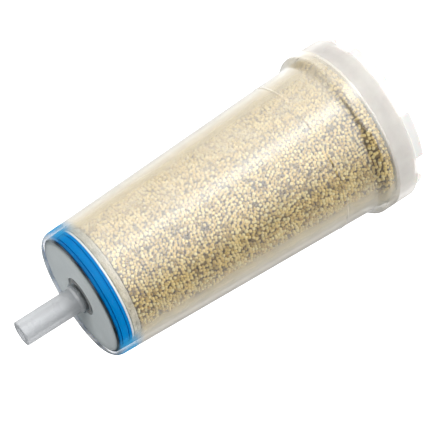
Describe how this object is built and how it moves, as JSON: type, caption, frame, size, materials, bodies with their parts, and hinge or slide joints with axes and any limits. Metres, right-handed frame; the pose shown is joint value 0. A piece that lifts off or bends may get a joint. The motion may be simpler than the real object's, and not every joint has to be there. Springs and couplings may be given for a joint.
{
  "type": "suction line water filter",
  "caption": "Clear tapered water filter cartridge full of resin beads, with a hose spigot, a blue seal ring and a frosted castellated inlet cap.",
  "frame": {"origin": "centre of the plane that the feet of the inlet cap stand on", "axes": "+Z along the cartridge's axis, pointing out of the hose spigot; -Y faces the gap between two feet"},
  "size_m": [0.0554, 0.0554, 0.1295],
  "materials": {
    "clear_shell": "clear with a slight haze",
    "frosted_cap": "frosted, translucent",
    "pale_spigot": "satin, translucent",
    "grey_disc": "smooth",
    "blue_silicone": "glossy",
    "white_silicone": "satin, translucent",
    "black_rubber": "matt",
    "white_felt": "needled felt",
    "steel_mesh": "woven",
    "resin_beads": "packed round beads"
  },
  "bodies": {
    "housing": {"body_shell": "clear_shell", "bead_bed": "resin_beads", "outlet_felt": "white_felt", "outlet_mesh": "steel_mesh", "mesh_clip_ring": "steel_mesh", "outlet_disc": "grey_disc", "blue_seal_ring": "blue_silicone", "spigot_washer": "black_rubber", "hose_spigot": "pale_spigot"},
    "seal_ring": {"cap_seal_ring": "white_silicone"},
    "cap": {"inlet_cap": "frosted_cap", "inlet_mesh": "steel_mesh", "inlet_felt": "white_felt", "bed_support_plate": "frosted_cap"}
  },
  "joints": [
    {"name": "cap_pull", "type": "slide", "parent": "housing", "child": "seal_ring", "axis": [0, 0, -1], "range_m": [0, 0.02]},
    {"name": "cap_turn", "type": "hinge", "parent": "seal_ring", "child": "cap", "pos_m": [0, 0, 0.0074], "axis": [0, 0, 1], "continuous": true}
  ]
}
